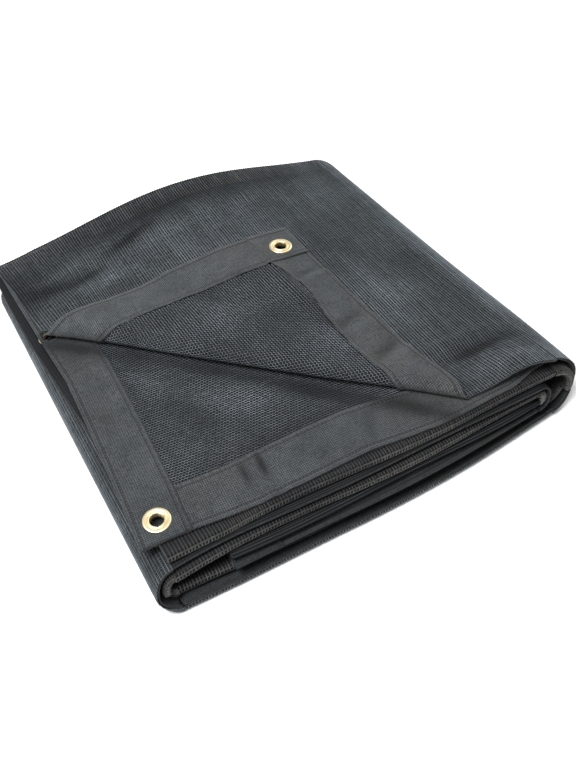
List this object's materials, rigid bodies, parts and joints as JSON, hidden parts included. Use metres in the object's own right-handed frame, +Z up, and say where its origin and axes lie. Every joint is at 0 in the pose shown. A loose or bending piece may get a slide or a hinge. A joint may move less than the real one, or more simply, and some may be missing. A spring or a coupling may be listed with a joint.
{
  "type": "mesh tarp",
  "caption": "Knitted mesh tarp with woven hem tape and brass eyelets, folded and rolled flat with the corner of its top ply turned back.",
  "frame": {"origin": "bottom centre of the bounding box of the folded tarp, on the surface that it lies on", "axes": "+Z up from the surface; +X along the flat roll, from its free end to the right turn; +Y to the back, where the plies are folded"},
  "size_m": [0.503, 0.5358, 0.0945],
  "materials": {
    "mesh_cloth": "matte knitted polyethylene mesh",
    "hem_tape": "matte fine-ribbed woven tape",
    "brass": "polished"
  },
  "bodies": {
    "root": {"mesh_sheet": "mesh_cloth", "hem_tape_side_1": "hem_tape", "hem_tape_side_2": "hem_tape", "hem_tape_free_end": "hem_tape", "hem_tape_inner_end": "hem_tape", "grommet_turned_corner": "brass", "grommet_front_corner": "brass", "grommet_ply_3": "brass", "grommet_ply_4": "brass"}
  },
  "joints": []
}
